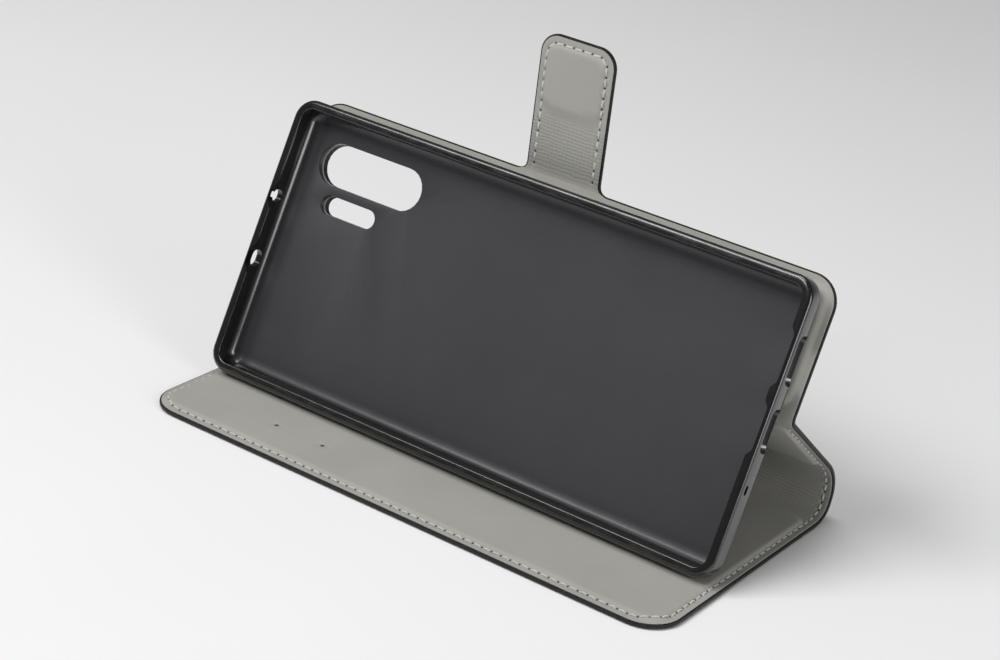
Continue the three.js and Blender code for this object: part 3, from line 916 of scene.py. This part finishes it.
class Nodes:
    """A small helper that writes a node material."""

    def __init__(self, name):
        self.material = bpy.data.materials.new(name)
        self.material.use_nodes = True
        self.tree = self.material.node_tree
        self.shader = next(n for n in self.tree.nodes if n.type == "BSDF_PRINCIPLED")

    def give(self, socket, value):
        """Links a socket to another one, or sets its value."""
        if isinstance(value, bpy.types.NodeSocket):
            self.tree.links.new(value, socket)
        else:
            socket.default_value = value

    def node(self, kind, inputs=None, **settings):
        made = self.tree.nodes.new(kind)
        for key, value in settings.items():
            setattr(made, key, value)
        for key, value in (inputs or {}).items():
            self.give(made.inputs[key], value)
        return made

    def math(self, operation, *values):
        return self.node("ShaderNodeMath", dict(enumerate(values)), operation=operation).outputs[0]

    def add(self, a, b):
        return self.math("ADD", a, b)

    def times(self, a, b):
        return self.math("MULTIPLY", a, b)

    def mix(self, factor, a, b):
        made = self.node("ShaderNodeMix", data_type="RGBA")
        for index, value in ((0, factor), (6, a), (7, b)):
            self.give(made.inputs[index], value)
        return made.outputs[2]

    def ramp(self, value, low, high):
        return self.node("ShaderNodeMapRange", {0: value, 1: low, 2: high}, clamp=True).outputs[0]

    def flat_pattern(self):
        """Coordinates in millimetres along the flat pattern."""
        uv = self.node("ShaderNodeUVMap", uv_map="flat").outputs[0]
        return self.node("ShaderNodeVectorMath", {0: uv, 3: UV_SIZE}, operation="SCALE").outputs[0]

    def object_mm(self):
        place = self.node("ShaderNodeTexCoord").outputs["Object"]
        return self.node("ShaderNodeVectorMath", {0: place, 3: 1000.0}, operation="SCALE").outputs[0]

    def noise(self, vector, scale, detail=3.0, roughness=0.5):
        inputs = {"Vector": vector, "Scale": scale, "Detail": detail, "Roughness": roughness}
        return self.node("ShaderNodeTexNoise", inputs).outputs[0]

    def attribute(self, name):
        return self.node("ShaderNodeAttribute", attribute_name=name).outputs["Fac"]

    def bump(self, height, strength, distance_mm):
        inputs = {"Height": height, "Strength": strength, "Distance": distance_mm * MM}
        return self.node("ShaderNodeBump", inputs).outputs[0]

    def set(self, **values):
        for key, value in values.items():
            self.give(self.shader.inputs[key.replace("_", " ")], value)
        return self.material


def rgb(*screen):
    """A linear colour from 0 to 255 screen values."""
    shares = [c / 255 for c in screen]
    return (*(c / 12.92 if c <= 10 / 255 else ((c + 0.055) / 1.055) ** 2.4 for c in shares), 1.0)


def leather_black():
    m = Nodes("leather_black")
    flat = m.flat_pattern()
    stir = m.node("ShaderNodeTexNoise", {"Vector": flat, "Scale": 0.9, "Detail": 2.0}).outputs[1]
    warp = m.node("ShaderNodeVectorMath", {0: flat, 1: stir}, operation="ADD").outputs[0]
    cells = m.node("ShaderNodeTexVoronoi", {"Vector": warp, "Scale": 1.35},
                   feature="DISTANCE_TO_EDGE").outputs["Distance"]
    pebble = m.ramp(cells, 0.0, 0.22)
    fine = m.noise(flat, 5.0, 4.0)
    height = m.add(m.times(pebble, 0.75), m.times(fine, 0.25))
    cloud = m.noise(flat, 0.05, 3.0)
    rim = m.attribute("rim")
    worn = m.times(m.times(rim, m.ramp(m.noise(flat, 0.6, 4.0), 0.45, 0.7)), 0.5)
    base = m.mix(m.ramp(cloud, 0.35, 0.65), rgb(13, 13, 14), rgb(18, 18, 19))
    valley = m.mix(pebble, rgb(6, 6, 7), base)
    colour = m.mix(worn, valley, rgb(36, 35, 34))
    roughness = m.add(m.times(m.ramp(cloud, 0.2, 0.9), 0.12), 0.4)
    return m.set(Base_Color=colour, Roughness=roughness, Normal=m.bump(height, 0.8, 0.14),
                 Specular_IOR_Level=0.36)


def lining_grey():
    m = Nodes("lining_grey")
    flat = m.flat_pattern()
    split = m.node("ShaderNodeSeparateXYZ", {0: flat}).outputs
    wobble = m.times(m.noise(flat, 0.35, 2.0), 0.9)
    along = m.add(split[1], wobble)
    ribs = m.math("SINE", m.times(along, 2 * math.pi / RIB_PITCH))
    crossing = m.math("SINE", m.times(split[0], 2 * math.pi / WEAVE_PITCH))
    weave = m.add(ribs, m.times(crossing, 0.45))
    fine = m.noise(flat, 4.5, 4.0, 0.6)
    soft = m.attribute("soft")
    amount = m.add(m.times(soft, 0.4), 0.03)
    height = m.add(m.times(weave, amount), m.times(fine, 0.35))
    cloud = m.ramp(m.noise(flat, 0.045, 4.0), 0.3, 0.7)
    speck = m.ramp(m.noise(flat, 2.2, 3.0, 0.7), 0.35, 0.65)
    base = m.mix(cloud, rgb(162, 161, 155), rgb(170, 169, 163))
    grained = m.mix(m.times(speck, 0.3), base, rgb(150, 149, 143))
    # Painted shade: where the lining is ribbed, the furrows between the ribs are darkened towards rgb(112,
    # 111, 107).
    rib_furrow_shade = m.times(m.ramp(weave, 0.2, -1.2), m.times(soft, 0.32))
    ribbed = m.mix(rib_furrow_shade, grained, rgb(112, 111, 107))
    # Painted shade: the needle holes and pinholes are darkened to near black, standing in for the shade
    # inside them.
    colour = m.mix(m.attribute("hole"), ribbed, rgb(30, 29, 27))
    return m.set(Base_Color=colour, Roughness=0.78, Normal=m.bump(height, 0.5, 0.09),
                 Specular_IOR_Level=0.3, Sheen_Weight=0.12, Sheen_Roughness=0.5)


def thread(name, light, dark):
    m = Nodes(name)
    flat = m.flat_pattern()
    split = m.node("ShaderNodeSeparateXYZ", {0: flat}).outputs
    diagonal = m.add(split[0], split[1])
    ply = m.math("SINE", m.times(diagonal, 2 * math.pi / PLY_PITCH))
    fuzz = m.noise(flat, 9.0, 3.0)
    height = m.add(m.times(ply, 0.5), fuzz)
    colour = m.mix(m.ramp(m.add(ply, fuzz), -0.8, 1.2), dark, light)
    return m.set(Base_Color=colour, Roughness=0.7, Normal=m.bump(height, 0.6, 0.07), Sheen_Weight=0.2)


def flexible_plastic():
    """Glossy black walls and a satin floor, with faint flow marks along the lip."""
    m = Nodes("tray_plastic")
    place = m.object_mm()
    frosted = m.attribute("satin")
    grain = m.noise(place, 7.0, 3.0)
    swirl = m.ramp(m.noise(place, 0.05, 4.0, 0.6), 0.3, 0.7)
    drawn = m.node("ShaderNodeMapping", {"Vector": place, "Scale": (0.12, 1.0, 1.0)}).outputs[0]
    streak = m.ramp(m.noise(drawn, 1.6, 5.0, 0.65), 0.42, 0.66)
    marks = m.times(streak, m.times(m.attribute("marks"), 0.7))
    glossy = m.mix(swirl, rgb(9, 9, 10), rgb(13, 13, 14))
    marked = m.mix(marks, glossy, rgb(46, 45, 46))
    satin = m.mix(swirl, rgb(50, 49, 53), rgb(54, 53, 57))
    colour = m.mix(frosted, marked, satin)
    polish = m.add(m.times(m.ramp(m.noise(place, 0.3, 3.0), 0.3, 0.7), 0.06), 0.2)
    matt = m.add(m.times(frosted, 0.3), m.times(marks, 0.25))
    marked_strength = m.add(m.times(marks, 0.4), 0.05)
    strength = m.add(m.times(frosted, 0.22), marked_strength)
    height = m.add(grain, m.times(streak, 0.5))
    coat = m.math("SUBTRACT", 1.0, m.math("MAXIMUM", frosted, m.times(marks, 0.6)))
    return m.set(Base_Color=colour, Roughness=m.add(polish, matt), Specular_IOR_Level=0.4,
                 Normal=m.bump(height, strength, 0.05), Coat_Weight=coat, Coat_Roughness=0.14)


def greyboard():
    m = Nodes("greyboard")
    place = m.object_mm()
    stretched = m.node("ShaderNodeMapping", {"Vector": place, "Scale": (1.0, 1.0, 6.0)}).outputs[0]
    fibre = m.noise(stretched, 1.4, 5.0, 0.7)
    fleck = m.ramp(m.noise(place, 3.5, 2.0), 0.62, 0.7)
    base = m.mix(m.ramp(fibre, 0.3, 0.7), rgb(126, 117, 104), rgb(158, 148, 133))
    colour = m.mix(m.times(fleck, 0.5), base, rgb(92, 85, 76))
    return m.set(Base_Color=colour, Roughness=0.92, Normal=m.bump(fibre, 0.6, 0.12))


def steel():
    m = Nodes("magnet_steel")
    place = m.object_mm()
    brushed = m.node("ShaderNodeMapping", {"Vector": place, "Scale": (0.4, 8.0, 8.0)}).outputs[0]
    lines = m.noise(brushed, 1.5, 4.0)
    colour = m.mix(lines, rgb(140, 142, 146), rgb(176, 178, 182))
    roughness = m.add(m.times(lines, 0.2), 0.28)
    return m.set(Base_Color=colour, Metallic=1.0, Roughness=roughness, Normal=m.bump(lines, 0.2, 0.03))


def adhesive():
    m = Nodes("adhesive")
    place = m.object_mm()
    cloud = m.noise(place, 0.4, 4.0)
    colour = m.mix(m.ramp(cloud, 0.3, 0.7), rgb(214, 210, 198), rgb(232, 229, 219))
    return m.set(Base_Color=colour, Roughness=0.55, Normal=m.bump(cloud, 0.3, 0.05))


def floor_material():
    m = Nodes("studio_floor")
    place = m.object_mm()
    tone = m.mix(m.noise(place, 0.01, 2.0), rgb(246, 246, 246), rgb(250, 250, 250))
    return m.set(Base_Color=tone, Roughness=0.8, Specular_IOR_Level=0.2)


# ----------------------------------------
# Building the pieces

BODIES = [("cover", "spine_1"), ("spine_1", "spine_2"), ("spine_2", "spine_3"), ("spine_3", "lower_back"),
          ("lower_back", "upper_back"), ("upper_back", "strap_root"), ("strap_root", "strap_tab")]
PARTS = ["cover", "spine_low", "spine_middle", "spine_high", "crease", "upper_back", "strap"]
NARROW = ("spine_low", "spine_middle")
SKINS = [["cover_skin"], ["spine_1_skin"], ["spine_2_skin"], ["spine_3_skin"], ["lower_back_skin"],
         ["upper_back_skin"], ["strap_root_skin", "strap_tab_skin"]]
LININGS = [[n.replace("_skin", "_lining") for n in names] for names in SKINS]
THREADS = {"cover": ["cover_thread"], "crease": ["lower_back_thread_left", "lower_back_thread_right"],
           "strap": ["strap_thread"]}


def dress(piece, material, fold):
    """Gives a leather, lining or thread piece its material and bakes its place into its mesh; the ends of its
    bend are worked out but not used.
    """
    piece.data.materials.append(material)
    before, after = REACH[fold]
    ends = folded(np.zeros(2), np.array([AT[fold] - before, AT[fold] + after]), np.zeros(2)) * MM
    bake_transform(piece)


def build_leather():
    skin, lining = leather_black(), lining_grey()
    light = thread("thread_light", rgb(214, 214, 208), rgb(168, 168, 160))
    dark = thread("thread_dark", rgb(40, 40, 40), rgb(18, 18, 18))
    made = {}
    for i, part in enumerate(PARTS):
        s0, s1 = SPLITS[i], SPLITS[i + 1]
        fold, bodies = FOLDS[i], BODIES[i]
        outside = leather_piece(f"leather_{part}", s0, s1)
        dress(outside, skin, fold)
        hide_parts(*SKINS[i])
        inside = lining_piece(f"lining_{part}", s0, s1)
        dress(inside, lining, fold)
        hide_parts(*LININGS[i])
        made[part] = {"leather": [outside], "lining": [inside]}
        for side, label, cotton in ((1, "inner", light), (-1, "outer", dark)):
            run = stitch_mesh(f"stitches_{label}_{part}", s0, s1, side)
            if run is None:
                continue
            dress(run, cotton, fold)
            made[part]["lining" if side > 0 else "leather"].append(run)
            if side > 0 and part in THREADS:
                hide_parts(*THREADS[part])
    declare_sheets(made)


def declare_sheets(made):
    """Goes over the leather and lining pieces, putting the strips too narrow for a row of their own with the
    cover's; nothing is declared, and the groups are not kept.
    """
    for layer in ("leather", "lining"):
        for i, part in enumerate(PARTS):
            if part in NARROW:
                continue
            piece, *with_it = made[part][layer]
            if part == "cover":
                with_it += [p for strip in NARROW for p in made[strip][layer]]


def paint_cad(names, material):
    for name in names:
        node = frame["nodes"][name]
        node.data.materials.clear()
        node.data.materials.append(material)


def build_tray():
    tray = phone_tray()
    tray.data.materials.clear()
    tray.data.materials.append(flexible_plastic())
    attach(tray, "upper_back")
    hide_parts("phone_tray")


# ----------------------------------------
# Studio

CAMERA_AZIMUTH = math.radians(32.51)
CAMERA_ELEVATION = math.radians(24.14)
CAMERA_ROLL = math.radians(7.14)
CAMERA_DISTANCE = 0.6564
CAMERA_TARGET = Vector((-0.0044, 0.00715, 0.0351))
CAMERA_LENS = 88.5
CAMERA_SENSOR = 36
CAMERA_CLIP = (0.01, 20)


def camera():
    data = bpy.data.cameras.new("camera")
    data.sensor_width = CAMERA_SENSOR
    data.lens = CAMERA_LENS
    data.clip_start, data.clip_end = CAMERA_CLIP
    made = bpy.data.objects.new("camera", data)
    a, e = CAMERA_AZIMUTH, CAMERA_ELEVATION
    back = Vector((math.sin(a) * math.cos(e), -math.cos(a) * math.cos(e), math.sin(e)))
    right = (-back).cross(Vector((0, 0, 1))).normalized()
    up = right.cross(-back).normalized()
    rolled_right = math.cos(CAMERA_ROLL) * right + math.sin(CAMERA_ROLL) * up
    rolled_up = -math.sin(CAMERA_ROLL) * right + math.cos(CAMERA_ROLL) * up
    facing = Matrix((rolled_right, rolled_up, back)).transposed()
    made.matrix_world = Matrix.Translation(CAMERA_TARGET + back * CAMERA_DISTANCE) @ facing.to_4x4()
    bpy.context.scene.collection.objects.link(made)
    bpy.context.scene.camera = made


FLOOR_REACH = 4.0
FLOOR_DROP = 0.0002           # the floor lies just under the case's own lowest faces
SKY_STRENGTH = 0.15
LIGHT_AIM = (0, 0, 0.04)
# Name, place, size and power of each light, in metres and watts.
LIGHTS = [
    ("key", (-0.45, -0.75, 1.05), (0.8, 0.6), 11.5),
    ("top", (-0.1, -0.1, 1.3), (0.5, 0.5), 4.2),
    ("side", (1.0, -0.25, 0.35), (0.35, 0.6), 3.6),
]


def area_light(name, place, size, power):
    data = bpy.data.lights.new(name, "AREA")
    data.shape = "RECTANGLE"
    data.size, data.size_y = size
    data.energy = power
    made = bpy.data.objects.new(name, data)
    made.location = place
    made.rotation_mode = "QUATERNION"
    made.rotation_quaternion = (Vector(LIGHT_AIM) - Vector(place)).to_track_quat("-Z", "Y")
    bpy.context.scene.collection.objects.link(made)


def studio():
    mesh = bpy.data.meshes.new("floor")
    square = [(x * FLOOR_REACH, y * FLOOR_REACH, 0) for x, y in ((-1, -1), (1, -1), (1, 1), (-1, 1))]
    mesh.from_pydata(square, [], [(0, 1, 2, 3)])
    mesh.materials.append(floor_material())
    ground = bpy.data.objects.new("floor", mesh)
    ground.location.z = -FLOOR_DROP
    bpy.context.scene.collection.objects.link(ground)
    world = bpy.data.worlds.new("studio")
    world.use_nodes = True
    sky = next(n for n in world.node_tree.nodes if n.type == "BACKGROUND")
    sky.inputs["Color"].default_value = (1, 1, 1, 1)
    sky.inputs["Strength"].default_value = SKY_STRENGTH
    bpy.context.scene.world = world
    for light in LIGHTS:
        area_light(*light)
    bpy.context.scene.view_settings.view_transform = "Standard"


build_leather()
build_tray()
paint_cad(["cover_board", "lower_back_board", "upper_back_board", "strap_tab_board"], greyboard())
paint_cad(["cover_magnet", "strap_magnet"], steel())
paint_cad(["tray_adhesive"], adhesive())
camera()
studio()
